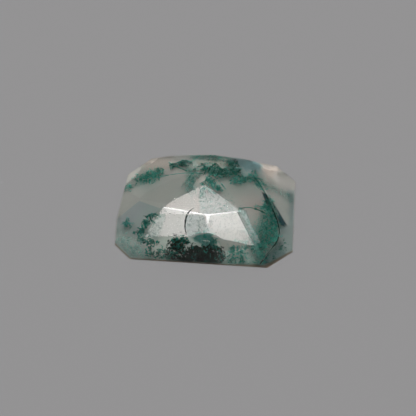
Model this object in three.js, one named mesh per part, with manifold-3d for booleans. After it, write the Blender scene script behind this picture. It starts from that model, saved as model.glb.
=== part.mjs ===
// Rose cut moss agate: an oblong stone with cut corners, a flat back and a low faceted dome.
// Millimetres, +Z up. The stone lies on its flat back, its long side along X and its front towards -Y.
// The origin is the middle of the flat back.

import * as THREE from "three";
import { mergeVertices } from "three/addons/utils/BufferGeometryUtils.js";
import Module from "manifold-3d";

// Driving dimensions
const LENGTH = 14;
const WIDTH = 10.26;
const HEIGHT = 3.4;
const SAW_ALLOWANCE = 1;

// Points on the dome where facets meet
const APEX = [-0.1, -0.06, HEIGHT];
const FRONT_RIDGE = [0.37, -2.58, 2.9];
const FRONT_SLOPE = [0.25, -3.1, 2.68];
const BACK_RIDGE = [0.1, 2.67, 2.86];
const LEFT_CROWN = [-3.16, -2.4, 2.94];
const RIGHT_CROWN = [3.12, -2.06, 2.91];
const SLIVER_TOP = [2.54, -2.22, 2.97];
const LEFT_TIP = [-5.35, -0.1, 1.48];
const RIGHT_TIP = [4.95, -0.65, 2.17];

// Points on the outline of the flat back
const FRONT = [0, -WIDTH / 2, 0];
const BACK = [0, WIDTH / 2, 0];
const LEFT = [-LENGTH / 2, -1.36, 0];
const RIGHT = [LENGTH / 2, -1.36, 0];
const FRONT_LEFT = [-6.06, -4.53, 0];
const FRONT_RIGHT = [5.09, -5.15, 0];
const BACK_LEFT = [-4.98, 5.16, 0];
const BACK_RIGHT = [5.53, 5.11, 0];

// Each facet passes through a point. It faces a compass direction, in degrees from +X towards +Y,
// and tilts away from level, where 90 is upright.
const FACETS = [
  // The table row, round the apex
  { through: APEX, faces: 270, tilt: 11.3 },
  { through: APEX, faces: 160, tilt: 10.8 },
  { through: APEX, faces: 20, tilt: 11.3 },
  { through: APEX, faces: 90, tilt: 11.5 },
  // The slopes of the dome, front, back, left and right
  { through: FRONT_RIDGE, faces: 267.4, tilt: 17.5 },
  { through: FRONT_SLOPE, faces: 268.6, tilt: 23.5 },
  { through: FRONT_RIDGE, faces: 275.3, tilt: 23.5 },
  { through: SLIVER_TOP, faces: 319.3, tilt: 22.2 },
  { through: BACK_RIDGE, faces: 112, tilt: 25.5 },
  { through: BACK_RIDGE, faces: 70, tilt: 25 },
  { through: LEFT_CROWN, faces: 154.1, tilt: 26.5 },
  { through: RIGHT_CROWN, faces: 30, tilt: 23.5 },
  // The long slopes down to the two ends
  { through: LEFT_CROWN, faces: 185, tilt: 34.8 },
  { through: LEFT_TIP, faces: 174.5, tilt: 37.4 },
  { through: RIGHT_CROWN, faces: 348.2, tilt: 34.2 },
  { through: RIGHT_TIP, faces: 1.9, tilt: 40 },
  // The steep row that stands on the outline
  { through: FRONT, faces: 270, tilt: 73.5 },
  { through: BACK, faces: 90, tilt: 68 },
  { through: LEFT, faces: 185, tilt: 75 },
  { through: LEFT, faces: 176.2, tilt: 75 },
  { through: RIGHT, faces: 0, tilt: 75 },
  { through: FRONT_LEFT, faces: 226, tilt: 62.7 },
  { through: FRONT_RIGHT, faces: 312, tilt: 59.7 },
  { through: BACK_LEFT, faces: 135, tilt: 66 },
  { through: BACK_RIGHT, faces: 47, tilt: 66 },
];

// Two shallow hollows, a long one and a short one within its reach, are polished out of the top of the
// front. Each is part of a ball stretched along X.
const HOLLOWS = [
  { centre: [-0.23, -5.81, 2.84], radii: [8.33, 1.67, 1.98], segments: 72, rings: 60 },
  { centre: [0.38, -4.63, 2.45], radii: [1.6, 0.7, 0.7], segments: 60, rings: 36 },
];

const wasm = await Module();
wasm.setup();

// A closed solid from a three.js geometry, with shared corners merged
function solidFrom(geometry) {
  const bare = geometry.clone();
  bare.deleteAttribute("normal");
  bare.deleteAttribute("uv");
  const merged = mergeVertices(bare, 1e-5);
  return new wasm.Manifold(
    new wasm.Mesh({
      numProp: 3,
      vertProperties: new Float32Array(merged.attributes.position.array),
      triVerts: new Uint32Array(merged.index.array),
    }),
  );
}

// A flat-shaded three.js geometry from a solid
function geometryFrom(solid) {
  const mesh = solid.getMesh();
  const indexed = new THREE.BufferGeometry();
  indexed.setAttribute("position", new THREE.BufferAttribute(mesh.vertProperties, 3));
  indexed.setIndex(new THREE.BufferAttribute(mesh.triVerts, 1));
  const flat = indexed.toNonIndexed();
  flat.computeVertexNormals();
  return flat;
}

// Unit vector that points out of a facet
function facetNormal({ faces, tilt }) {
  const fromLevel = THREE.MathUtils.degToRad(tilt);
  const compass = THREE.MathUtils.degToRad(faces);
  return new THREE.Vector3(
    Math.sin(fromLevel) * Math.cos(compass),
    Math.sin(fromLevel) * Math.sin(compass),
    Math.cos(fromLevel),
  );
}

// Grinds one facet: everything outside its plane goes
function grind(stone, facet) {
  const normal = facetNormal(facet);
  const reach = normal.dot(new THREE.Vector3(...facet.through));
  return stone.trimByPlane(normal.negate().toArray(), -reach);
}

// The sawn blank that the stone is ground from, standing on Z = 0
function blank() {
  const block = new THREE.BoxGeometry(LENGTH + SAW_ALLOWANCE, WIDTH + SAW_ALLOWANCE, HEIGHT + SAW_ALLOWANCE);
  block.translate(0, 0, (HEIGHT + SAW_ALLOWANCE) / 2);
  return solidFrom(block);
}

// Polishes one hollow out of the stone. The ball's poles lie on its long axis.
function polishOut(stone, { centre, radii, segments, rings }) {
  const ball = new THREE.SphereGeometry(1, segments, rings);
  ball.rotateZ(Math.PI / 2);
  ball.scale(...radii);
  ball.translate(...centre);
  return stone.subtract(solidFrom(ball));
}

function stone() {
  const faceted = FACETS.reduce(grind, blank());
  const finished = HOLLOWS.reduce(polishOut, faceted);
  const material = new THREE.MeshStandardMaterial({ color: 0x7f8883, roughness: 0.12, metalness: 0 });
  const mesh = new THREE.Mesh(geometryFrom(finished), material);
  mesh.name = "stone";
  return mesh;
}

const part = new THREE.Group();
part.add(stone());

export default part;
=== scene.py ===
"""A rose cut moss agate, lying on its flat back under one round soft lamp, seen from in front and above."""

import bmesh
import bpy
import numpy as np
from mathutils import Matrix


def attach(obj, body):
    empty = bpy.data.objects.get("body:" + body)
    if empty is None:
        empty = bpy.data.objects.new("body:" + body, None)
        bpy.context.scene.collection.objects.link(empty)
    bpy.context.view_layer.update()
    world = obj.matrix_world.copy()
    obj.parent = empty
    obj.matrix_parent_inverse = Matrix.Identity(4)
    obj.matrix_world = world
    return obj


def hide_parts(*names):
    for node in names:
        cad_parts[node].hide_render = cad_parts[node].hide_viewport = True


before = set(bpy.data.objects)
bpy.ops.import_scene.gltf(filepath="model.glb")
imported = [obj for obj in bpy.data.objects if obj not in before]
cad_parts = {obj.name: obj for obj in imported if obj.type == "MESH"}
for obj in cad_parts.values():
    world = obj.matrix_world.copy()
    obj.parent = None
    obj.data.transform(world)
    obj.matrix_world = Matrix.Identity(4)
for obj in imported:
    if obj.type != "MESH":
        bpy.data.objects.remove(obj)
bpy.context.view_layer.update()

MM = 0.001

# The photograph: its frame, and the pixel where it shows the point that the camera looks at, close to the
# middle of the flat back
FRAME_PX = 416
STONE_PX = (207.3, 212.0)
PX_PER_MM = 176 / 14
CAMERA_ELEVATION = np.radians(50)
CAMERA_TURN = np.radians(4.6)
CAMERA_DISTANCE = 89.3 * MM
LOOK_AT = np.array([0.103, 0.044, 0.0]) * MM
SENSOR = 36.0
CLIP_START = 1 * MM

# Chalcedony: how it bends light, and what deep stone takes out of light, as a colour and a density
STONE_IOR = 1.54
DEPTH_COLOUR = 0xE6E6DC
DEPTH_DENSITY = 20.0

# Its polished and its ground finish: how rough each is, and how wide and deep its pits are. A pit sits in
# the middle of a cell that is this many pits wide, reaches this share of the cell and is in this share of
# the cells
POLISH_ROUGHNESS = 0.02
POLISH_PIT = 0.12 * MM
POLISH_PIT_DEPTH = 0.02 * MM
GROUND_ROUGHNESS = 0.25
GROUND_PIT = 0.05 * MM
GROUND_PIT_DEPTH = 0.01 * MM
PITS_ACROSS_CELL = 3
PIT_REACH = 0.17
PITTED_CELLS = 0.5

# How wide the wear of the facet edges is, and in how many steps it is rounded
EDGE_WEAR = 0.06 * MM
EDGE_WEAR_STEPS = 2

# Chlorite in chalcedony: what its surface mirrors depends on the ratio of the two. Its clumps come from a
# noise that gives the dark tone below the first limit and the pale one above the second
CHLORITE_IOR = 1.03
CHLORITE_ROUGHNESS = 0.8
CHLORITE_CLUMP = 0.5 * MM
CHLORITE_LIMITS = (0.35, 0.65)

# Moss stays a skin below the surface. Smaller grains than this, and all moss where a line of sight runs
# through less stone than this, are left out
SKIN = 0.03 * MM
SMALLEST_GRAIN = 0.015 * MM
THINNEST_STONE = 10 * SKIN

# How the solid is read: how near corners are the same corner, how far a facet's corners may stand out, how
# many places of its plane count, and below what slope a way runs along it
MERGE_DISTANCE = 0.0005 * MM
FLATNESS = 0.001 * MM
PLANE_PLACES = 3
RUNS_ALONG = 1e-9

# Below the first angle two faces are one, and above the second their edge is sharp. The flat back faces
# lower than this, and the wall of a hollow is this near to its ball
SAME_FACE = np.radians(0.5)
SHARP_EDGE = np.radians(2)
BACK_NORMAL_Z = -0.99
ON_HOLLOW = 0.02

# The hollows polished into the top of the front, as the solid has them: centres and radii
HOLLOWS = [
    (np.array([-0.23, -5.81, 2.84]) * MM, np.array([8.33, 1.67, 1.98]) * MM),
    (np.array([0.38, -4.63, 2.45]) * MM, np.array([1.6, 0.7, 0.7]) * MM),
]

# The paper under the stone: how far below the flat back it lies, how wide it is in metres, its grey and
# how rough it is
FLOOR_DROP = 0.02 * MM
FLOOR_SIZE = 2.0
PAPER = 0x848587
PAPER_ROUGHNESS = 0.9

# The room: a round soft lamp overhead, between grey walls. Within the lamp are a brighter middle and,
# beside it, a small bright core. Each has the direction of its centre, its radius and the fade of its edge
# as angles, and the light that it adds. The walls go from the light at the first value, lowest, to the
# second overhead
LAMP_COLOUR = 0xFFFCFA
LAMP_WAY = (0.0, 0.087, 0.996)
LAMP_RADIUS = np.radians(19)
LAMP_EDGE = np.radians(2)
LAMP_RADIANCE = 6.4
MIDDLE_WAY = (0.017, 0.009, 1.0)
MIDDLE_RADIUS = np.radians(8.3)
MIDDLE_EDGE = np.radians(1.2)
MIDDLE_RADIANCE = 4.2
CORE_WAY = (-0.044, 0.174, 0.984)
CORE_RADIUS = np.radians(3.8)
CORE_EDGE = np.radians(1)
CORE_RADIANCE = 30.0
WALL_RADIANCE = (0.12, 0.36)

# The stone where it has no zone: its tint, and how milky it is where polished and where ground
CLEAR_TINT = 0xF8FAF6
POLISHED_MILK = 0.0
GROUND_MILK = 0.46

# The waves in the borders of zones. Noise strays about a quarter to each side of its middle, so that a
# border strays by its zone's wave with this gain. No border is sharper than the least softness, in pixels
ZONE_WAVE = 1.0 * MM
NOISE_MIDDLE = (0.5, 0.5, 0.5)
WAVE_GAIN = 4
LEAST_SOFT = 0.5

# How far a facet's normal may turn from the direction that a zone names
FACET_TOLERANCE = np.radians(4)

# Where moss comes to the surface the polish is mottled: spots in patches, each from a noise that is nought
# below the first limit and one above the second. A full spot loses this share of its shine and takes on a
# green tint
MOTTLE = 0.16 * MM
MOTTLE_LIMITS = (0.46, 0.62)
MOTTLE_PATCH = 6 * MOTTLE
MOTTLE_PATCH_LIMITS = (0.3, 0.5)
MOTTLE_DULLING = 0.55
DULL_TINT = 0x9CC4BC

# The stone is darker and browner at its foot: the colour starts at this height and is full at the lower one
GIRDLE_BROWN = 0xB89078
GIRDLE_BROWN_HEIGHT = 0.16 * MM
GIRDLE_BROWN_FULL = 0.3 * GIRDLE_BROWN_HEIGHT

# Zones of the stone by where the photograph shows them on its top. Each has a convex outline in pixels, how
# soft its border is and how far it waves, in pixels, the tint, how milky it is, how much of its shine is
# left and how mottled its polish is. On a few zones, named at each, the milk is painted light and the tint
# painted shade. Where a zone shows through one facet alone, faces says which, by the azimuth that it faces
# and its tilt from level in degrees
ZONES = {
    # Painted shade: the steep left facet alone is tinted darker and bluer, standing in for the dimmer,
    # bluer light that comes through it
    "left_side": dict(
        outline=[(108, 217), (140, 190), (172, 200), (140, 240), (108, 240)], soft=1, wave=0,
        tint=0xC0E4E4, faces=(185, 34.8)),
    "left_side_top": dict(
        outline=[(112, 222), (138, 196), (152, 206), (130, 226)], soft=10, wave=3, tint=0xC8DEE8,
        faces=(185, 34.8)),
    "left_tip": dict(
        outline=[(116, 214), (124, 184), (140, 199), (118, 217)], soft=3, wave=1, tint=0xF8FAF4,
        milk_and_painted_light=0.05),
    "left_foot": dict(
        outline=[(108, 232), (150, 234), (170, 240), (170, 264), (112, 252)], soft=8, wave=4,
        tint=0xDAEEE9, milk_and_painted_light=0.07),
    # Painted reflection: white milk along the top left rim and its upper edge, standing in for the glare
    # off the corner facets at the back
    "left_rim": dict(
        outline=[(120, 185), (126, 169), (142, 160), (147, 166), (134, 177), (127, 187)], soft=4, wave=3,
        tint=0xFFFFF8, milk_and_painted_light=0.22),
    "left_rim_top": dict(
        outline=[(138, 163), (150, 158), (172, 155.5), (172, 158), (152, 163), (141, 169)], soft=3,
        wave=2, tint=0xFFFBF2, milk_and_painted_light=0.14),
    "left_rose": dict(
        outline=[(146, 161), (172, 158), (170, 167), (148, 172)], soft=5, wave=3, tint=0xFFF2E8,
        milk_and_painted_light=0.05),
    "left_grey": dict(
        outline=[(139, 199), (148, 191), (160, 185), (174, 179), (186, 175), (194, 186), (168, 204)],
        soft=1.5, wave=0.5, tint=0xECF0EA),
    # Painted reflection: white milk along the top right rim, standing in for the glare off the corner
    # facets at the back
    "right_rim": dict(
        outline=[(247, 156), (262, 159), (279, 167), (283, 172), (268, 170), (254, 164)], soft=3, wave=2,
        tint=0xFFF8F0, milk_and_painted_light=0.26),
    "right_rose": dict(
        outline=[(258, 166), (276, 168), (280, 180), (268, 178)], soft=7, wave=4, tint=0xFFF0E4,
        milk_and_painted_light=0.2),
    "right_grey": dict(
        outline=[(274, 172), (294, 180), (294, 192), (274, 188)], soft=6, wave=3, tint=0xFFFCF8,
        milk_and_painted_light=0.06),
    "right_haze": dict(
        outline=[(228, 155), (252, 159), (262, 166), (262, 172), (244, 170), (232, 162)], soft=6, wave=3,
        tint=0x94C4CA),
    "right_band": dict(
        outline=[(288, 190), (298, 190), (298, 240), (290, 240)], soft=5, wave=2, tint=0xC8DEE0),
    "right_smoke": dict(
        outline=[(262, 192), (267, 193.5), (276, 207), (289, 227), (278, 231), (270, 216)], soft=1.5,
        wave=0.5, tint=0x083844),
    "right_teal": dict(
        outline=[(258, 214), (270, 200), (280, 230), (272, 246), (252, 244)], soft=8, wave=3,
        tint=0xA4D8D0),
    "right_corner": dict(
        outline=[(279, 243), (290, 242), (284, 262), (262, 266), (264, 258)], soft=5, wave=3,
        tint=0xACC2C8),
    "right_foot": dict(
        outline=[(280, 228), (296, 226), (296, 250), (282, 252)], soft=5, wave=3, tint=0xD4E8E6,
        milk_and_painted_light=0.07),
    "top_green": dict(
        outline=[(190, 150), (238, 153), (232, 159), (192, 159)], soft=3, wave=2, tint=0xA8E0D4),
    "top_left_teal": dict(
        outline=[(134, 182), (146, 172), (162, 168), (166, 176), (146, 186)], soft=5, wave=3,
        tint=0xB4E2DA),
    "top_teal": dict(
        outline=[(200, 168), (236, 167), (254, 179), (240, 186), (216, 178), (202, 175)], soft=5, wave=4,
        tint=0xB4E4DC),
    "column_teal": dict(
        outline=[(186, 168), (195, 168), (195, 190), (187, 192)], soft=4, wave=2, tint=0xB4E4DC),
    "right_clear": dict(
        outline=[(224, 188), (240, 184), (254, 190), (264, 204), (258, 216), (246, 206)], soft=5, wave=2,
        tint=0xFAF0EA),
    "top_clear": dict(
        outline=[(196, 160), (228, 160), (230, 166), (198, 166)], soft=4, wave=2, tint=0xF0DCCC),
    "front_left": dict(
        outline=[(148, 238), (196, 236), (222, 246), (222, 270), (148, 266)], soft=5, wave=2,
        tint=0xD4EAE0),
    "front_green": dict(
        outline=[(216, 248), (262, 250), (264, 270), (216, 268)], soft=8, wave=3, tint=0xCCEAE2,
        milk_and_painted_light=0.06),
    "front_leaf": dict(
        outline=[(191, 238), (200, 233), (210, 233), (216, 240), (215, 249), (206, 248)], soft=3, wave=1,
        tint=0x2E7E78),
    "crown_blue": dict(
        outline=[(200, 180), (208, 182), (246, 209), (208, 217), (198, 210)], soft=3, wave=2,
        tint=0xF0F8FA, mottle=0.62, faces=(270, 11.3)),
    "crown_rose": dict(
        outline=[(160, 212), (160, 200), (200, 180), (200, 216)], soft=3, wave=1, tint=0xF6E6E0,
        faces=(270, 11.3)),
    "crown_foot": dict(
        outline=[(205, 208), (244, 200), (246, 214), (206, 219)], soft=4, wave=2, tint=0xDCEEF0,
        faces=(270, 11.3)),
    "slope": dict(
        outline=[(140, 242), (158, 208), (212, 210), (212, 242)], soft=1, wave=0, tint=0xEAE8E6,
        shine=0.96, mottle=0.12, faces=(268.6, 23.5)),
    "slope_left": dict(
        outline=[(142, 240), (160, 206), (170, 214), (162, 228), (158, 240)], soft=5, wave=3,
        tint=0xC4E0D8, shine=0.93, mottle=1.1),
    "slope_patch": dict(
        outline=[(186, 217), (190, 214.5), (203, 215), (206, 221), (210, 230), (205, 234), (188, 237),
        (185, 228)], soft=2, wave=1, tint=0xC4DCDE, shine=0.9, mottle=1.1),
    "slope_right": dict(
        outline=[(207, 214), (240, 210), (256, 248), (212, 236)], soft=3, wave=1, tint=0xF8FAF8,
        mottle=0.45, faces=(275.3, 23.5)),
    "slope_band": dict(
        outline=[(158, 202), (212, 210), (212, 218), (156, 216)], soft=0.5, wave=0, tint=0xFCFAFA,
        milk_and_painted_light=0.06, faces=(267.4, 17.5)),
    # Darker and browner along the foot of the front and of its right corner
    "front_foot_brown": dict(
        outline=[(236, 268), (236, 264), (266, 264.8), (266, 269)], soft=2, wave=1, tint=0xA07C68),
    "corner_foot_brown": dict(
        outline=[(265, 269), (265, 264.8), (290, 251.5), (292, 254)], soft=2, wave=1, tint=0xA07C68),
    "slope_right_foot": dict(
        outline=[(212, 230), (252, 230), (260, 250), (212, 238)], soft=5, wave=2, tint=0xF4F2EC,
        shine=0.93, faces=(275.3, 23.5)),
    "hollow_right": dict(
        outline=[(213, 236), (256, 247), (224, 251)], soft=1.5, wave=0.5, tint=0xA8ACA8),
    "sliver": dict(
        outline=[(234, 208), (248, 208), (262, 250), (252, 250)], soft=2, wave=0, tint=0xD4E0E0,
        milk_and_painted_light=0.15, mottle=1.5, faces=(319.3, 22.2)),
    # Painted highlight: a paler, milkier strip down the sliver facet, standing in for its glint of the lamp
    "sliver_painted_highlight": dict(
        outline=[(239, 209.5), (245, 211), (261, 243), (256.5, 242.5)], soft=1, wave=0.5, tint=0xE0ECEC,
        milk_and_painted_light=0.16, mottle=1.1),
    # Painted highlights: white milk along the two ridge edges at the top of the front slope, and a small
    # star where they meet, standing in for the glint of the lamp on these edges
    "painted_highlight_star": dict(
        outline=[(205.3, 214.2), (210.8, 214.6), (208, 225.5)], soft=1, wave=0, tint=0xFFFFFF, milk_and_painted_light=0.5),
    "painted_highlight_left": dict(
        outline=[(163, 206.6), (185, 209.9), (207, 214.4), (207, 215.7), (163, 207.8)], soft=0.7,
        wave=0.4, tint=0xFFFFFF, milk_and_painted_light=0.36),
    "painted_highlight_right": dict(
        outline=[(206, 214.4), (241, 210.2), (241, 211.6), (206, 216)], soft=0.7, wave=0.3, tint=0xFFFFFF,
        milk_and_painted_light=0.4),
}


# Colours and nodes


def linear(hex_colour, alpha=1.0):
    """An sRGB hex colour as linear red, green, blue and alpha."""
    values = np.array([(hex_colour >> shift & 255) / 255 for shift in (16, 8, 0)])
    values = np.where(values <= 0.04045, values / 12.92, ((values + 0.055) / 1.055) ** 2.4)
    return (*values.tolist(), alpha)


def per(size):
    """The texture scale whose pattern repeats about once per size, in metres."""
    return 1.0 / size


def add(tree, kind, links=None, **settings):
    """Adds a node. Settings are its properties. Links are its inputs, by name or place, each with a socket
    or a plain value."""
    node = tree.nodes.new(kind)
    for name, value in settings.items():
        setattr(node, name, value)
    for name, value in (links or {}).items():
        socket = node.inputs[name]
        if isinstance(value, bpy.types.NodeSocket):
            tree.links.new(value, socket)
        else:
            socket.default_value = value
    return node


def new_material(name):
    """An empty node material, with its tree and its output node."""
    material = bpy.data.materials.new(name)
    material.use_nodes = True
    tree = material.node_tree
    tree.nodes.clear()
    return material, tree, add(tree, "ShaderNodeOutputMaterial")


# Materials


def polished_chalcedony():
    """Grey chalcedony under a mirror polish, see-through, with tinted and milky zones and a few fine pits.
    Some zones carry painted highlights and painted reflections as white milk, and painted shade as a darker
    tint on the steep left facet. It gives the eye hard glints over a misty depth, and dull spots where moss
    comes to the surface."""
    material, tree, out = new_material("polished_chalcedony")
    place = add(tree, "ShaderNodeTexCoord").outputs["Object"]
    tint, milk_and_painted_light, shine = zones(tree, place)
    clear = add(tree, "ShaderNodeMath", {0: 1.0, 1: milk_and_painted_light}, operation="SUBTRACT").outputs["Value"]
    pits = pitted(tree, place, POLISH_PIT)
    bump = add(tree, "ShaderNodeBump", {"Height": pits, "Distance": POLISH_PIT_DEPTH})
    surface = {
        "Base Color": tint,
        "Roughness": POLISH_ROUGHNESS,
        "Transmission Weight": clear,
        "Specular Tint": shine,
    }
    return finished_stone(material, tree, out, surface, bump)


def ground_chalcedony():
    """The same chalcedony where it is ground flat but not polished. It gives the eye a fine frosting that
    scatters light, a pale ground under the clear stone."""
    material, tree, out = new_material("ground_chalcedony")
    place = add(tree, "ShaderNodeTexCoord").outputs["Object"]
    pits = pitted(tree, place, GROUND_PIT)
    bump = add(tree, "ShaderNodeBump", {"Height": pits, "Distance": GROUND_PIT_DEPTH})
    surface = {
        "Base Color": linear(CLEAR_TINT),
        "Roughness": GROUND_ROUGHNESS,
        "Transmission Weight": 1 - GROUND_MILK,
    }
    return finished_stone(material, tree, out, surface, bump)


def finished_stone(material, tree, out, surface, bump):
    """Puts the stone's surface on a material, over a body that takes a little blue out of deep light."""
    stone = add(
        tree, "ShaderNodeBsdfPrincipled", {"IOR": STONE_IOR, "Normal": bump.outputs["Normal"], **surface}
    )
    depth = add(
        tree, "ShaderNodeVolumeAbsorption", {"Color": linear(DEPTH_COLOUR), "Density": DEPTH_DENSITY}
    )
    tree.links.new(stone.outputs["BSDF"], out.inputs["Surface"])
    tree.links.new(depth.outputs["Volume"], out.inputs["Volume"])
    return material


def pitted(tree, place, size):
    """Height of a surface with scattered round pits of this size, one deep: each sits in the middle of a
    Voronoi cell, and its slope is a soft step of the distance from there."""
    cells = add(tree, "ShaderNodeTexVoronoi", {"Vector": place, "Scale": per(PITS_ACROSS_CELL * size)})
    slope = add(
        tree,
        "ShaderNodeMapRange",
        {"Value": cells.outputs["Distance"], "From Max": PIT_REACH, "To Min": -1.0, "To Max": 0.0},
        interpolation_type="SMOOTHSTEP",
    )
    chance = add(tree, "ShaderNodeSeparateXYZ", {"Vector": cells.outputs["Color"]}).outputs["X"]
    chosen = add(
        tree, "ShaderNodeMath", {0: chance, 1: PITTED_CELLS}, operation="GREATER_THAN"
    ).outputs["Value"]
    height = add(tree, "ShaderNodeMath", {0: slope.outputs["Result"], 1: chosen}, operation="MULTIPLY")
    return height.outputs["Value"]


def on_facet(tree, azimuth, tilt):
    """One on the facet that faces this azimuth with this tilt, and nought elsewhere."""
    azimuth, tilt = np.radians([azimuth, tilt])
    faces = (np.sin(tilt) * np.cos(azimuth), np.sin(tilt) * np.sin(azimuth), np.cos(tilt))
    normal = add(tree, "ShaderNodeTexCoord").outputs["Normal"]
    cosine = add(tree, "ShaderNodeVectorMath", {0: normal, 1: faces}, operation="DOT_PRODUCT")
    least = float(np.cos(FACET_TOLERANCE))
    same = add(
        tree, "ShaderNodeMath", {0: cosine.outputs["Value"], 1: least}, operation="GREATER_THAN"
    )
    return same.outputs["Value"]


def within(tree, place, outline, soft):
    """One inside a convex outline of pixels and nought outside it, across a border that is soft pixels
    wide. The outline is laid on the top of the stone and goes down through it along the photograph's line
    of sight. The result is the least of one soft step for each side of the outline."""
    u, v = np.array(outline, float).T
    right, up, _ = camera_axes()
    axes = np.array([right, up])
    corners = on_surface(u, v, 0.0) @ axes.T
    sides = np.roll(corners, -1, axis=0) - corners
    sides /= np.linalg.norm(sides, axis=1, keepdims=True)
    after = np.roll(sides, -1, axis=0)
    turn = np.sign((sides[:, 0] * after[:, 1] - sides[:, 1] * after[:, 0]).sum())
    inward = turn * np.column_stack([-sides[:, 1], sides[:, 0]])
    half = max(soft, LEAST_SOFT) / 2 / PX_PER_MM * MM
    mask = None
    for normal, reach in zip((inward @ axes).tolist(), (inward * corners).sum(axis=1).tolist()):
        along_normal = add(tree, "ShaderNodeVectorMath", {0: place, 1: normal}, operation="DOT_PRODUCT")
        past = add(
            tree,
            "ShaderNodeMapRange",
            {"Value": along_normal.outputs["Value"], "From Min": reach - half, "From Max": reach + half},
            interpolation_type="SMOOTHSTEP",
        ).outputs["Result"]
        if mask is not None:
            past = add(tree, "ShaderNodeMath", {0: mask, 1: past}, operation="MINIMUM").outputs["Value"]
        mask = past
    return mask


def zones(tree, place):
    """The stone's tint, how milky it is and how much its surface shines, from its zones. The milk includes
    the painted highlights and reflections of some zones, and the tint the painted shade of the steep left
    facet.
    """
    waves = add(tree, "ShaderNodeTexNoise", {"Vector": place, "Scale": per(ZONE_WAVE), "Detail": 4.0})
    swing = add(
        tree, "ShaderNodeVectorMath", {0: waves.outputs["Color"], 1: NOISE_MIDDLE}, operation="SUBTRACT"
    ).outputs["Vector"]
    tint, milk_and_painted_light, dulling, mottled = linear(CLEAR_TINT), POLISHED_MILK, 0.0, 0.0
    for zone in ZONES.values():
        reach = WAVE_GAIN * zone["wave"] / PX_PER_MM * MM
        wave = add(tree, "ShaderNodeVectorMath", {0: swing, "Scale": reach}, operation="SCALE")
        wavy = add(tree, "ShaderNodeVectorMath", {0: place, 1: wave.outputs["Vector"]}, operation="ADD")
        mask = within(tree, wavy.outputs["Vector"], zone["outline"], zone["soft"])
        if "faces" in zone:
            facet = on_facet(tree, *zone["faces"])
            mask = add(tree, "ShaderNodeMath", {0: mask, 1: facet}, operation="MULTIPLY").outputs["Value"]
        tint = add(
            tree, "ShaderNodeMix", {"Factor": mask, "A": tint, "B": linear(zone["tint"])}, data_type="RGBA"
        ).outputs["Result"]
        milk_and_painted_light = more(tree, mask, zone.get("milk_and_painted_light", 0.0), milk_and_painted_light)
        dulling = more(tree, mask, 1 - zone.get("shine", 1.0), dulling)
        mottled = more(tree, mask, zone.get("mottle", 0.0), mottled)
    # Darker and browner towards the foot
    height = add(tree, "ShaderNodeSeparateXYZ", {"Vector": place}).outputs["Z"]
    low = add(
        tree,
        "ShaderNodeMapRange",
        {"Value": height, "From Min": GIRDLE_BROWN_HEIGHT, "From Max": GIRDLE_BROWN_FULL},
        interpolation_type="SMOOTHSTEP",
    ).outputs["Result"]
    tint = add(
        tree, "ShaderNodeMix", {"Factor": low, "A": tint, "B": linear(GIRDLE_BROWN)}, data_type="RGBA"
    ).outputs["Result"]
    spots = blotches(tree, place, MOTTLE, 2.0, MOTTLE_LIMITS)
    patches = blotches(tree, place, MOTTLE_PATCH, 2.0, MOTTLE_PATCH_LIMITS)
    dull = add(tree, "ShaderNodeMath", {0: spots, 1: patches}, operation="MULTIPLY").outputs["Value"]
    dull = add(tree, "ShaderNodeMath", {0: dull, 1: mottled}, operation="MULTIPLY").outputs["Value"]
    dull = add(
        tree, "ShaderNodeMath", {0: dull, 1: MOTTLE_DULLING, 2: dulling}, operation="MULTIPLY_ADD"
    ).outputs["Value"]
    shine = add(
        tree, "ShaderNodeMath", {0: 1.0, 1: dull}, operation="SUBTRACT", use_clamp=True
    ).outputs["Value"]
    tint = add(
        tree, "ShaderNodeMix", {"Factor": dull, "A": tint, "B": linear(DULL_TINT)}, data_type="RGBA"
    ).outputs["Result"]
    return tint, milk_and_painted_light, shine


def blotches(tree, place, size, detail, limits):
    """Noise of this size and detail, nought below the first of its limits and one above the second."""
    noise = add(tree, "ShaderNodeTexNoise", {"Vector": place, "Scale": per(size), "Detail": detail})
    none, full = limits
    return add(
        tree, "ShaderNodeMapRange", {"Value": noise.outputs["Fac"], "From Min": none, "From Max": full}
    ).outputs["Result"]


def more(tree, mask, amount, total):
    """A total with an amount added where the mask is one."""
    if amount == 0:
        return total
    return add(
        tree, "ShaderNodeMath", {0: mask, 1: amount, 2: total}, operation="MULTIPLY_ADD"
    ).outputs["Value"]


def inclusion(name, dark, pale):
    """A mineral that grew in the stone, in clumps of two tones. It gives the eye a dull, crumbly mass with
    next to no glint, since the stone round it bends light nearly as much."""
    material, tree, out = new_material(name)
    place = add(tree, "ShaderNodeTexCoord").outputs["Object"]
    shade = blotches(tree, place, CHLORITE_CLUMP, 4.0, CHLORITE_LIMITS)
    colour = add(
        tree, "ShaderNodeMix", {"Factor": shade, "A": linear(dark), "B": linear(pale)}, data_type="RGBA"
    ).outputs["Result"]
    mineral = add(
        tree,
        "ShaderNodeBsdfPrincipled",
        {"Base Color": colour, "Roughness": CHLORITE_ROUGHNESS, "IOR": CHLORITE_IOR},
    )
    tree.links.new(mineral.outputs["BSDF"], out.inputs["Surface"])
    return material


def grey_paper():
    """The smooth grey paper that the stone lies on. It gives the eye one even grey without a sheen."""
    material, tree, out = new_material("grey_paper")
    paper = add(
        tree, "ShaderNodeBsdfPrincipled", {"Base Color": linear(PAPER), "Roughness": PAPER_ROUGHNESS}
    )
    tree.links.new(paper.outputs["BSDF"], out.inputs["Surface"])
    return material


# The camera, and what it sees of the inside of the stone


def camera_axes():
    """Unit vectors to the right of the picture, up it and into it."""
    sin_e, cos_e = np.sin(CAMERA_ELEVATION), np.cos(CAMERA_ELEVATION)
    sin_t, cos_t = np.sin(CAMERA_TURN), np.cos(CAMERA_TURN)
    turn = np.array([[cos_t, -sin_t, 0], [sin_t, cos_t, 0], [0, 0, 1]])
    return turn @ [1, 0, 0], turn @ [0, sin_e, cos_e], turn @ [0, cos_e, -sin_e]


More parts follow.
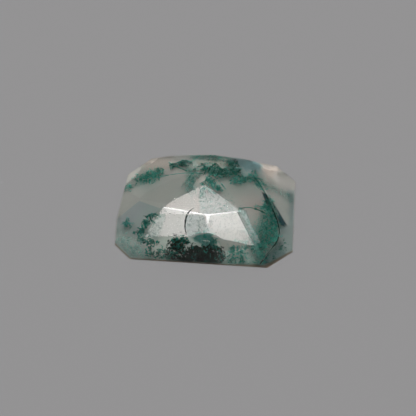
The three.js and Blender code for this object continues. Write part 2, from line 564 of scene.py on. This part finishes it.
def set_camera():
    """A camera with the photograph's angle and scale, which shows LOOK_AT at the pixel STONE_PX."""
    right, up, into = camera_axes()
    data = bpy.data.cameras.new("camera")
    data.sensor_width = SENSOR
    data.lens = SENSOR * CAMERA_DISTANCE / MM * PX_PER_MM / FRAME_PX
    data.shift_x = (FRAME_PX / 2 - STONE_PX[0]) / FRAME_PX
    data.shift_y = (STONE_PX[1] - FRAME_PX / 2) / FRAME_PX
    data.clip_start = CLIP_START
    camera = bpy.data.objects.new("camera", data)
    turn = Matrix(np.stack([right, up, -into], axis=1).tolist())
    camera.matrix_world = Matrix.Translation(LOOK_AT - into * CAMERA_DISTANCE) @ turn.to_4x4()
    bpy.context.scene.collection.objects.link(camera)
    bpy.context.scene.camera = camera


def facet_planes():
    """Normals and reaches of the stone's facets: the faces with the whole stone behind them."""
    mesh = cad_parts["stone"].data
    corners = np.array([v.co for v in mesh.vertices])
    faces = np.array([p.vertices for p in mesh.polygons])
    a, b, c = (corners[faces[:, i]] for i in range(3))
    normals = np.cross(b - a, c - a)
    normals /= np.linalg.norm(normals, axis=1, keepdims=True)
    reaches = (normals * a).sum(axis=1)
    outer = (normals @ corners.T - reaches[:, None]).max(axis=1) < FLATNESS
    planes = np.column_stack([normals[outer], reaches[outer] / MM])
    planes = np.unique(np.round(planes, PLANE_PLACES), axis=0)
    normals = planes[:, :3] / np.linalg.norm(planes[:, :3], axis=1, keepdims=True)
    return normals, planes[:, 3] * MM


FACET_NORMALS, FACET_REACHES = facet_planes()


def crossings(start, way, entering):
    """Distance along each ray to the facet where it enters or leaves the stone, and that facet's
    number."""
    towards = way @ FACET_NORMALS.T
    gap = FACET_REACHES - start @ FACET_NORMALS.T
    wanted = towards < -RUNS_ALONG if entering else towards > RUNS_ALONG
    never = -np.inf if entering else np.inf
    distance = np.where(wanted, gap / np.where(wanted, towards, 1.0), never)
    facet = distance.argmax(axis=1) if entering else distance.argmin(axis=1)
    return distance[np.arange(len(facet)), facet], facet


def sight(u, v):
    """Where the lines of sight through pixels u, v of the photograph enter the stone, the surface's
    normals there and the ways to which it bends them. Also says which of them meet the stone."""
    right, up, into = camera_axes()
    pixel = MM / PX_PER_MM
    way = into * CAMERA_DISTANCE + np.multiply.outer((u - STONE_PX[0]) * pixel, right)
    way = way + np.multiply.outer((STONE_PX[1] - v) * pixel, up)
    way /= np.linalg.norm(way, axis=1, keepdims=True)
    eye = np.broadcast_to(LOOK_AT - into * CAMERA_DISTANCE, way.shape)
    enter, facet = crossings(eye, way, True)
    leave, _ = crossings(eye, way, False)
    hits = enter < leave
    start = eye + way * enter[:, None]
    normal = FACET_NORMALS[facet]
    for centre, radii in HOLLOWS:
        start, normal = past_hollow(start, way, normal, centre, radii)
    cosine = -(way * normal).sum(axis=1)
    ratio = 1 / STONE_IOR
    bend = ratio * cosine - np.sqrt(1 - ratio**2 * (1 - cosine**2))
    bent = ratio * way + bend[:, None] * normal
    return start, normal, bent, hits


def inside(u, v, depth):
    """Points in the stone seen at pixels u, v of the photograph. Depth goes from 0, just under the
    surface, to 1, just short of where the line of sight meets the far side. Also says which pixels meet
    the stone."""
    start, _, bent, hits = sight(np.asarray(u, float), np.asarray(v, float))
    length, _ = crossings(start, bent, False)
    step = SKIN + np.maximum(length - 2 * SKIN, 0) * depth
    return start + bent * step[:, None], hits & (length > THINNEST_STONE)


def on_surface(u, v, sunk):
    """Points on the stone's surface seen at pixels u, v of the photograph, sunk into it a little."""
    start, normal, _, _ = sight(np.asarray(u, float), np.asarray(v, float))
    return start - normal * sunk


def past_hollow(start, way, normal, centre, radii):
    """Moves rays that start in a hollow on to its wall, and gives the wall's normal there. In units of the
    hollow's radii its wall is a ball, so the way to it is the greater root of a quadratic."""
    p = (start - centre) / radii
    d = way / radii
    a, b, c = (d * d).sum(axis=1), (p * d).sum(axis=1), (p * p).sum(axis=1) - 1
    in_hollow = c < 0
    distance = np.where(in_hollow, (-b + np.sqrt(np.maximum(b * b - a * c, 0))) / a, 0)
    start = start + way * distance[:, None]
    wall = (centre - start) / radii**2
    wall /= np.linalg.norm(wall, axis=1, keepdims=True)
    return start, np.where(in_hollow[:, None], wall, normal)


# The stone's surface


def stone_surface(polished, ground):
    """A merged copy of the solid, its flat faces joined and its facet edges worn round."""
    shape = bmesh.new()
    shape.from_mesh(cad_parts["stone"].data)
    bmesh.ops.remove_doubles(shape, verts=shape.verts, dist=MERGE_DISTANCE)
    bmesh.ops.dissolve_limit(shape, angle_limit=SAME_FACE, verts=shape.verts, edges=shape.edges)
    wear = shape.edges.layers.float.new("bevel_weight_edge")
    for edge in shape.edges:
        inner = all(on_hollow(face) for face in edge.link_faces)
        edge[wear] = float(edge.calc_face_angle(0.0) > SHARP_EDGE and not inner)
    for face in shape.faces:
        face.smooth = on_hollow(face)
        face.material_index = int(face.normal.z < BACK_NORMAL_Z)
    mesh = bpy.data.meshes.new("polished_stone")
    shape.to_mesh(mesh)
    shape.free()
    mesh.materials.append(polished)
    mesh.materials.append(ground)
    stone = bpy.data.objects.new("polished_stone", mesh)
    bpy.context.scene.collection.objects.link(stone)
    worn = stone.modifiers.new("worn_edges", "BEVEL")
    worn.limit_method = "WEIGHT"
    worn.width = EDGE_WEAR
    worn.segments = EDGE_WEAR_STEPS
    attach(stone, "root")
    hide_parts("stone")


def on_hollow(face):
    """True for a face of a hollow's wall."""
    middle = np.array(face.calc_center_median())
    return any(
        abs(np.linalg.norm((middle - centre) / radii) - 1) < ON_HOLLOW for centre, radii in HOLLOWS
    )


# Moss


# A grain is an octahedron. Each corner goes in or out by this much, and the grain takes up no more than
# this share of the room up to the surface
GRAIN_CORNERS = np.array([(1, 0, 0), (0, 1, 0), (-1, 0, 0), (0, -1, 0), (0, 0, 1), (0, 0, -1)], float)
GRAIN_FACES = np.array(
    [(0, 1, 4), (1, 2, 4), (2, 3, 4), (3, 0, 4), (1, 0, 5), (2, 1, 5), (3, 2, 5), (0, 3, 5)]
)
GRAIN_STRETCH = (0.75, 1.35)
GRAIN_ROOM = 0.9

# A twig's grains: the step between them, in grains, how far it turns from grain to grain, in radians, how
# far their depth strays, how small the last one is, and how much bigger or smaller a whole twig can be
TWIG_STEP = 0.9
TWIG_TURN = 1.0
TWIG_STRAY = 0.02
TWIG_TIP = 0.6
TWIG_SIZES = (0.7, 1.3)

# Loose fine grains: their size in millimetres, how it varies, and how far they lie about, in a patch's
# spread
DUST = 0.022
DUST_SIZES = (0.7, 1.5)
DUST_SPREAD = 0.65

# The first seeds of chance for the patches of moss and for the threads
MOSS_SEED = 100
THREAD_SEED = 300


def new_piece(name, points, faces, material):
    """A piece inside the stone, from an array of points and a list of faces."""
    mesh = bpy.data.meshes.new(name)
    mesh.from_pydata(points.tolist(), [], faces)
    mesh.materials.append(material)
    piece = bpy.data.objects.new(name, mesh)
    bpy.context.scene.collection.objects.link(piece)
    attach(piece, "root")
    return piece


def room_round(centres):
    """How far each point is from the stone's nearest face."""
    room = (FACET_REACHES - centres @ FACET_NORMALS.T).min(axis=1)
    for centre, radii in HOLLOWS:
        away = np.linalg.norm((centres - centre) / radii, axis=1) - 1
        room = np.minimum(room, away * radii.min())
    return room


def grains(name, centres, sizes, material, random):
    """One piece of many grains. Each is the unit octahedron with its corners in or out by a random amount,
    turned by a random angle about Z, scaled to its size and moved to its centre. A grain near the stone's
    surface is made small enough to stay below it, and left out where it would be too small to see."""
    sizes = np.minimum(sizes, GRAIN_ROOM * room_round(centres) / GRAIN_STRETCH[1])
    kept = sizes > SMALLEST_GRAIN
    centres, sizes = centres[kept], sizes[kept]
    stretch = random.uniform(*GRAIN_STRETCH, (len(centres), len(GRAIN_CORNERS), 1))
    angle = random.uniform(0, np.pi, len(centres))
    cosine, sine, level = np.cos(angle), np.sin(angle), np.zeros(len(centres))
    turn = np.stack([cosine, -sine, level, sine, cosine, level, level, level, level + 1], axis=1)
    turn = turn.reshape(-1, 3, 3)
    corners = (GRAIN_CORNERS[None] * stretch) @ turn
    points = centres[:, None] + corners * sizes[:, None, None]
    faces = GRAIN_FACES[None] + (np.arange(len(centres)) * len(GRAIN_CORNERS))[:, None, None]
    new_piece(name, points.reshape(-1, 3), faces.reshape(-1, 3).tolist(), material)


def along(route, share):
    """Points a given share of the way along a route, with straight stretches between its stops."""
    route = np.asarray(route, float)
    stretches = np.linalg.norm(np.diff(route, axis=0), axis=1)
    stops = np.concatenate([[0], np.cumsum(stretches)]) / stretches.sum()
    return np.column_stack([np.interp(share, stops, route[:, i]) for i in range(2)])


def twigs(route, spread, depths, count, length, step, random):
    """Pixels, depths and sizes of the grains of a patch of moss, one row for each twig. A twig starts near
    the route and curls off: grain after grain takes a step in a direction that turns at random."""
    starts = along(route, random.uniform(0, 1, count)) + random.normal(0, spread / 2, (count, 2))
    heading = random.uniform(0, 2 * np.pi, (count, 1))
    heading = heading + np.cumsum(random.normal(0, TWIG_TURN, (count, length)), axis=1)
    steps = np.stack([np.cos(heading), np.sin(heading)], axis=2) * step
    places = starts[:, None] + np.cumsum(steps, axis=1)
    middle = random.uniform(*depths, (count, 1))
    depth = np.clip(middle + np.cumsum(random.normal(0, TWIG_STRAY, (count, length)), axis=1), 0, 1)
    taper = np.linspace(1, TWIG_TIP, length) * random.uniform(*TWIG_SIZES, (count, 1))
    return places, depth, taper


# Patches of moss, by where the photograph shows them: route and spread in pixels, depth as in inside(),
# the number of twigs and the grains in each, a grain's size in millimetres, the tone, the share of paler
# twigs and the number of loose fine grains round them
MOSS = {
    "front_heart": dict(
        route=[(183, 257), (193, 254.5), (204, 253), (213, 257), (199, 260)], spread=6.5,
        depths=(0.03, 0.5), count=430, length=6, size=0.085, tone="black", pale=0.05, dust=800),
    "front_foot": dict(
        route=[(172, 262), (192, 263), (215, 264.5)], spread=4, depths=(0.1, 0.8), count=190, length=6,
        size=0.08, tone="black", pale=0.05, dust=0),
    "front_brow": dict(
        route=[(171, 242), (178, 241.5), (187, 241.5)], spread=2.6, depths=(0.03, 0.4), count=60,
        length=5, size=0.07, tone="black", pale=0.45, dust=100),
    "front_fringe": dict(
        route=[(169, 261), (172, 252), (178, 246), (184, 243)], spread=6.5, depths=(0.03, 0.5), count=160,
        length=6, size=0.065, tone="black", pale=0.5, dust=200),
    "front_tips": dict(
        route=[(213, 247), (219, 250), (221, 258), (218, 264)], spread=5, depths=(0.05, 0.5), count=80,
        length=6, size=0.065, tone="black", pale=0.5, dust=100),
    "front_leaf": dict(
        route=[(197, 239), (206, 236), (213, 240), (214, 246), (206, 247)], spread=3.5, depths=(0.1, 0.5),
        count=16, length=5, size=0.06, tone="deep", pale=0.15, dust=900),
    "front_mist": dict(
        route=[(220, 257), (234, 257), (250, 259), (262, 260)], spread=12, depths=(0.1, 0.9), count=16,
        length=5, size=0.045, tone="teal", pale=0.4, dust=400),
    "front_clump_a": dict(
        route=[(234, 248), (231, 262)], spread=4, depths=(0.3, 0.9), count=24, length=6, size=0.065,
        tone="deep", pale=0.5, dust=250),
    "front_clump_b": dict(
        route=[(244, 248), (241, 265)], spread=4, depths=(0.3, 0.9), count=26, length=6, size=0.065,
        tone="deep", pale=0.5, dust=250),
    "right_foot": dict(
        route=[(257, 246), (263, 252), (262, 259), (257, 264)], spread=5, depths=(0.1, 0.8), count=70,
        length=6, size=0.06, tone="deep", pale=0.35, dust=350),
    "left_star": dict(
        route=[(126, 221.5), (128, 225.5)], spread=3.2, depths=(0.03, 0.15), count=24, length=5,
        size=0.075, tone="deep", pale=0.1, dust=50),
    "left_dash": dict(
        route=[(132.5, 231.5), (136, 232)], spread=0.8, depths=(0.1, 0.2), count=4, length=4, size=0.07,
        tone="dark", pale=0, dust=0),
    "left_arm": dict(
        route=[(154, 213.5), (149.5, 219), (145, 224.5), (141.5, 230.5), (138.5, 236)], spread=2,
        depths=(0.03, 0.3), count=64, length=5, size=0.08, tone="dark", pale=0.12, dust=200),
    "left_elbow": dict(
        route=[(139, 238), (144, 242), (151, 242.5), (157, 241.5)], spread=1.3, depths=(0.03, 0.3),
        count=34, length=5, size=0.075, tone="dark", pale=0.1, dust=50),
    "left_stem": dict(
        route=[(149.5, 243), (148.5, 249), (148, 257)], spread=1.8, depths=(0.05, 0.3), count=18,
        length=5, size=0.07, tone="dark", pale=0.1, dust=0),
    "left_loops": dict(
        route=[(149, 252), (157, 256), (160, 249), (166, 249)], spread=2, depths=(0.05, 0.4), count=22,
        length=6, size=0.06, tone="dark", pale=0.2, dust=50),
    "left_curls": dict(
        route=[(158, 259), (166, 258), (171, 253)], spread=4, depths=(0.05, 0.4), count=50, length=6,
        size=0.06, tone="dark", pale=0.3, dust=100),
    "left_mist": dict(
        route=[(120, 241), (131, 250), (147, 256)], spread=9, depths=(0.15, 0.9), count=40, length=6,
        size=0.05, tone="mist", pale=0, dust=700),
    "left_specks": dict(
        route=[(120, 235), (125, 245), (136, 252), (142, 246)], spread=6, depths=(0.05, 0.6), count=18,
        length=4, size=0.05, tone="teal", pale=0.4, dust=180),
    "right_cloud": dict(
        route=[(263, 205), (268, 214), (270, 225), (268, 236), (262, 245)], spread=7, depths=(0.05, 0.6),
        count=125, length=6, size=0.065, tone="deep", pale=0.6, dust=900),
    "right_core": dict(
        route=[(265, 197), (271, 208), (275, 220), (276, 232), (272, 243)], spread=3.8,
        depths=(0.03, 0.35), count=120, length=6, size=0.07, tone="deep", pale=0.45, dust=400),
    "right_haze": dict(
        route=[(254, 238), (262, 226), (262, 240)], spread=8, depths=(0.2, 0.8), count=16, length=5,
        size=0.05, tone="deep", pale=0.3, dust=1200),
    "right_corner": dict(
        route=[(270, 262), (278, 251), (284, 244)], spread=6, depths=(0.3, 0.9), count=10, length=6,
        size=0.05, tone="dark", pale=0, dust=150),
    "top_right": dict(
        route=[(250, 176), (256, 179), (262, 186)], spread=4.5, depths=(0.7, 0.95), count=70, length=6,
        size=0.06, tone="deep", pale=0.35, dust=350),
    "top_drift": dict(
        route=[(262, 182), (272, 188), (283, 193), (293, 200)], spread=3.5, depths=(0.7, 0.95), count=24,
        length=6, size=0.045, tone="mist", pale=0, dust=600),
    "top_middle": dict(
        route=[(204, 169), (212, 170), (222, 172), (230, 172)], spread=4.2, depths=(0.7, 0.95), count=140,
        length=6, size=0.065, tone="dark", pale=0.45, dust=500),
    "top_knot": dict(
        route=[(230, 163), (233, 167), (238, 172)], spread=4, depths=(0.7, 0.95), count=80, length=6,
        size=0.065, tone="dark", pale=0.3, dust=200),
    "top_fall": dict(
        route=[(232, 176), (239, 182), (246, 179)], spread=4.2, depths=(0.7, 0.95), count=64, length=6,
        size=0.055, tone="deep", pale=0.4, dust=250),
    "top_column": dict(
        route=[(190.5, 169), (191.5, 179), (190, 189)], spread=4, depths=(0.7, 0.95), count=32, length=6,
        size=0.055, tone="teal", pale=0.7, dust=350),
    "top_strip": dict(
        route=[(206, 177), (212, 184), (220, 189)], spread=2.6, depths=(0.7, 0.95), count=50, length=6,
        size=0.06, tone="deep", pale=0.3, dust=250),
    "top_trail": dict(
        route=[(205, 187), (202.5, 192), (201, 198)], spread=2.6, depths=(0.005, 0.03), count=60,
        length=5, size=0.06, tone="dark", pale=0.1, dust=150),
    "crown_specks": dict(
        route=[(206, 199), (212, 206), (222, 205), (232, 209)], spread=9, depths=(0.01, 0.15), count=26,
        length=3, size=0.045, tone="dark", pale=0.2, dust=300),
    "top_left": dict(
        route=[(137, 181), (146, 177), (154, 174), (161, 171)], spread=4.6, depths=(0.7, 0.95), count=120,
        length=6, size=0.065, tone="deep", pale=0.35, dust=600),
    "far_left": dict(
        route=[(125, 188), (130, 186)], spread=3, depths=(0.7, 0.95), count=12, length=5, size=0.055,
        tone="deep", pale=0.5, dust=200),
    "top_arrow": dict(
        route=[(170, 166), (177, 164.5), (184, 163.5), (188, 164)], spread=1.6, depths=(0.7, 0.95),
        count=60, length=6, size=0.06, tone="dark", pale=0.35, dust=200),
    "top_rim": dict(
        route=[(190, 156.5), (204, 156), (218, 157.5), (232, 160)], spread=3, depths=(0.7, 0.95),
        count=36, length=6, size=0.05, tone="deep", pale=0.4, dust=850),
}

# The tone of a patch's paler twigs
PALER = {"black": "dark", "dark": "teal", "deep": "teal", "teal": "mist", "mist": "mist"}

# Threads of moss and of healed quartz that run through the stone: route in pixels, depth as in inside(),
# radius in millimetres
THREADS = {
    "thread_right_top": dict(
        route=[(253, 175), (258, 182), (262, 188), (266, 195), (269, 202)], depth=0.12, radius=0.04,
        tone="dark"),
    "thread_right": dict(
        route=[(266, 195), (271, 206), (275, 215), (278.5, 225), (279.5, 232), (277, 241), (271, 250),
        (260, 264)], depth=0.12, radius=0.055, tone="black"),
    "thread_right_light": dict(
        route=[(258, 179), (263, 186), (270, 200), (274.5, 210), (278, 221), (280.5, 232)], depth=0.06,
        radius=0.022, tone="healed"),
    "thread_corner_light": dict(
        route=[(275, 246), (270, 251.5), (263, 260)], depth=0.06, radius=0.02, tone="healed"),
    "thread_crown": dict(
        route=[(239, 208.5), (248, 207.5), (256, 209), (265, 213)], depth=0.12, radius=0.04, tone="dark"),
    "thread_top": dict(
        route=[(161, 176.5), (175, 174), (188, 173), (203, 173.5)], depth=0.5, radius=0.035, tone="deep"),
    "thread_arrow_top": dict(
        route=[(169, 166), (176, 163), (184, 160.8), (192, 162.5)], depth=0.5, radius=0.055, tone="dark"),
    "thread_arrow": dict(
        route=[(174, 166), (180, 168), (187, 171)], depth=0.5, radius=0.04, tone="dark"),
    "thread_rim": dict(
        route=[(191, 162), (196, 158), (200, 155.5)], depth=0.4, radius=0.04, tone="deep"),
}

# A thread has so many points. Its radius swells by this much, evened out over so many of them, and takes
# up no more than this share of the room up to the surface
THREAD_POINTS = 60
THREAD_SWELL = 0.35
SWELL_POINTS = 5
THREAD_ROOM = 0.8

# The healed crack that reaches the surface of the front slope: its route in pixels and its radius in
# millimetres. It has so many points and is sunk by this share of its radius, and its radius follows the
# given power of a sine that starts and ends this far into a half turn
CRACK_POINTS = 40
CRACK_SUNK = 0.4
CRACK_POWER = 0.5
CRACK_START = 0.15
CRACK = dict(route=[(193.5, 208), (188.5, 212.5), (185.7, 219), (185, 227), (186.5, 235)], radius=0.06)


def moss(tones):
    """All patches of moss. Each is up to three pieces: its twigs, its paler twigs and its loose fine
    grains."""
    for number, (name, patch) in enumerate(MOSS.items()):
        random = np.random.default_rng(MOSS_SEED + number)
        size = patch["size"] * MM
        step = TWIG_STEP * patch["size"] * PX_PER_MM
        places, depth, taper = twigs(
            patch["route"], patch["spread"], patch["depths"], patch["count"], patch["length"], step, random
        )
        pale = random.uniform(0, 1, patch["count"]) < patch["pale"]
        for part, chosen, tone in (("", ~pale, patch["tone"]), ("_pale", pale, PALER[patch["tone"]])):
            if chosen.any():
                strew(name + part, places[chosen], depth[chosen], size * taper[chosen], tones[tone], random)
        if patch["dust"]:
            count = patch["dust"]
            spots = along(patch["route"], random.uniform(0, 1, count))
            spots = spots + random.normal(0, DUST_SPREAD * patch["spread"], (count, 2))
            depth = random.uniform(*patch["depths"], count)
            sizes = DUST * MM * random.uniform(*DUST_SIZES, count)
            strew(name + "_dust", spots, depth, sizes, tones[patch["tone"]], random)


def strew(name, places, depth, sizes, material, random):
    """A piece of grains at these pixels and depths, where they lie in the stone."""
    places = places.reshape(-1, 2)
    centres, seen = inside(places[:, 0], places[:, 1], depth.ravel())
    grains(name, centres[seen], sizes.ravel()[seen], material, random)


def smooth_route(route, steps):
    """A route's stops joined by one smooth curve, steps points long: each stretch is a cubic whose slope
    at a stop is that of the line between the stops beside it."""
    stops = np.asarray(route, float)
    ends = np.vstack([2 * stops[0] - stops[1], stops, 2 * stops[-1] - stops[-2]])
    share = np.linspace(0, len(stops) - 1, steps)
    stretch = np.minimum(share.astype(int), len(stops) - 2)
    t = (share - stretch)[:, None]
    before, here, there, after = (ends[stretch + i] for i in range(4))
    rise = (there - before) / 2
    fall = (after - here) / 2
    squared = 3 * (there - here) - 2 * rise - fall
    cubed = 2 * (here - there) + rise + fall
    return here + rise * t + squared * t**2 + cubed * t**3


def tube(name, path, radii, material, sides=8):
    """A smooth closed tube: a circle of its radius round each point of the path, square to it, and a point
    at each end."""
    along_path = np.gradient(path, axis=0)
    along_path /= np.linalg.norm(along_path, axis=1, keepdims=True)
    across = np.cross(along_path, [0, 0, 1.0])
    across /= np.linalg.norm(across, axis=1, keepdims=True)
    upward = np.cross(across, along_path)
    turn = np.linspace(0, 2 * np.pi, sides, endpoint=False)
    ring = np.cos(turn)[None, :, None] * across[:, None] + np.sin(turn)[None, :, None] * upward[:, None]
    points = (path[:, None] + ring * radii[:, None, None]).reshape(-1, 3)
    points = np.vstack([points, path[0], path[-1]])
    rows = np.arange(len(path) - 1)[:, None] * sides
    side = np.arange(sides)[None]
    after = (side + 1) % sides
    walls = np.stack([rows + side, rows + after, rows + sides + after, rows + sides + side], axis=2)
    last = (len(path) - 1) * sides
    first_cap = np.stack([after[0], side[0], np.full(sides, len(points) - 2)], axis=1)
    last_cap = np.stack([last + side[0], last + after[0], np.full(sides, len(points) - 1)], axis=1)
    faces = walls.reshape(-1, 4).tolist() + first_cap.tolist() + last_cap.tolist()
    piece = new_piece(name, points, faces, material)
    piece.data.polygons.foreach_set("use_smooth", [True] * len(faces))


def threads(tones):
    """All threads. Each is a tube whose radius swells at random and stays clear of the surface."""
    for number, (name, thread) in enumerate(THREADS.items()):
        random = np.random.default_rng(THREAD_SEED + number)
        pixels = smooth_route(thread["route"], THREAD_POINTS)
        path, seen = inside(pixels[:, 0], pixels[:, 1], thread["depth"])
        chance = random.normal(0, 1, THREAD_POINTS + SWELL_POINTS - 1)
        swell = 1 + THREAD_SWELL * np.convolve(chance, np.ones(SWELL_POINTS) / SWELL_POINTS, "valid")
        radii = np.minimum(thread["radius"] * MM * swell, THREAD_ROOM * room_round(path))
        kept = seen & (radii > SMALLEST_GRAIN)
        tube(name, path[kept], radii[kept], tones[thread["tone"]])


def crack(material):
    """The healed crack, a tube at the surface that is thickest in its middle and thin at its ends."""
    pixels = smooth_route(CRACK["route"], CRACK_POINTS)
    path = on_surface(pixels[:, 0], pixels[:, 1], CRACK_SUNK * CRACK["radius"] * MM)
    ends = np.sin(np.linspace(CRACK_START, np.pi - CRACK_START, CRACK_POINTS)) ** CRACK_POWER
    tube("healed_crack", path, CRACK["radius"] * MM * ends, material)


# The room


def floor(material):
    """A square of paper just under the stone's flat back."""
    mesh = bpy.data.meshes.new("floor")
    half, down = FLOOR_SIZE / 2, -FLOOR_DROP
    corners = [(-half, -half, down), (half, -half, down), (half, half, down), (-half, half, down)]
    mesh.from_pydata(corners, [], [(0, 1, 2, 3)])
    mesh.materials.append(material)
    ground = bpy.data.objects.new("floor", mesh)
    bpy.context.scene.collection.objects.link(ground)


def round_glow(tree, way, centre, radius, edge, radiance):
    """The radiance of a round lamp in each direction: full in its middle, fading out over its edge."""
    cosine = add(tree, "ShaderNodeVectorMath", {0: way, 1: centre}, operation="DOT_PRODUCT")
    glow = add(
        tree,
        "ShaderNodeMapRange",
        {
            "Value": cosine.outputs["Value"],
            "From Min": float(np.cos(radius + edge)),
            "From Max": float(np.cos(radius - edge)),
            "To Max": radiance,
        },
        interpolation_type="SMOOTHSTEP",
    )
    return glow.outputs["Result"]


def room():
    """A round soft lamp overhead with a brighter middle, and grey walls that are brighter higher up."""
    world = bpy.data.worlds.new("room")
    world.use_nodes = True
    tree = world.node_tree
    tree.nodes.clear()
    way = add(tree, "ShaderNodeTexCoord").outputs["Generated"]
    height = add(tree, "ShaderNodeSeparateXYZ", {"Vector": way}).outputs["Z"]
    low, high = WALL_RADIANCE
    walls = add(tree, "ShaderNodeMapRange", {"Value": height, "To Min": low, "To Max": high})
    lamp = round_glow(tree, way, LAMP_WAY, LAMP_RADIUS, LAMP_EDGE, LAMP_RADIANCE)
    middle = round_glow(tree, way, MIDDLE_WAY, MIDDLE_RADIUS, MIDDLE_EDGE, MIDDLE_RADIANCE)
    core = round_glow(tree, way, CORE_WAY, CORE_RADIUS, CORE_EDGE, CORE_RADIANCE)
    light = walls.outputs["Result"]
    for part in (lamp, middle, core):
        light = add(tree, "ShaderNodeMath", {0: light, 1: part}, operation="ADD").outputs["Value"]
    glow = add(tree, "ShaderNodeBackground", {"Color": linear(LAMP_COLOUR), "Strength": light})
    out = add(tree, "ShaderNodeOutputWorld", {"Surface": glow.outputs["Background"]})
    out.is_active_output = True
    bpy.context.scene.world = world


# The whole scene


set_camera()
stone_surface(polished_chalcedony(), ground_chalcedony())

# Chlorite, from the black green hearts of the moss to its thin pale mist, and the milky quartz of healed
# lines, which gives the eye fine pale threads
TONES = {
    "black": inclusion("chlorite_black", 0x001A12, 0x0A4436),
    "dark": inclusion("chlorite_dark", 0x065A4E, 0x2AA090),
    "deep": inclusion("chlorite_deep", 0x2A9284, 0x66CABC),
    "teal": inclusion("chlorite_teal", 0x529C92, 0x94CEC6),
    "mist": inclusion("chlorite_mist", 0x98BEB8, 0xC0DCD6),
    "healed": inclusion("healed_quartz", 0xB4C8C2, 0xDCE6E2),
}
moss(TONES)
threads(TONES)

# The dark stain in the healed crack gives the eye one thin dark line across the bright front slope
crack(inclusion("crack_stain", 0x1A2422, 0x2E3B38))
floor(grey_paper())
room()
bpy.context.scene.view_settings.view_transform = "Standard"
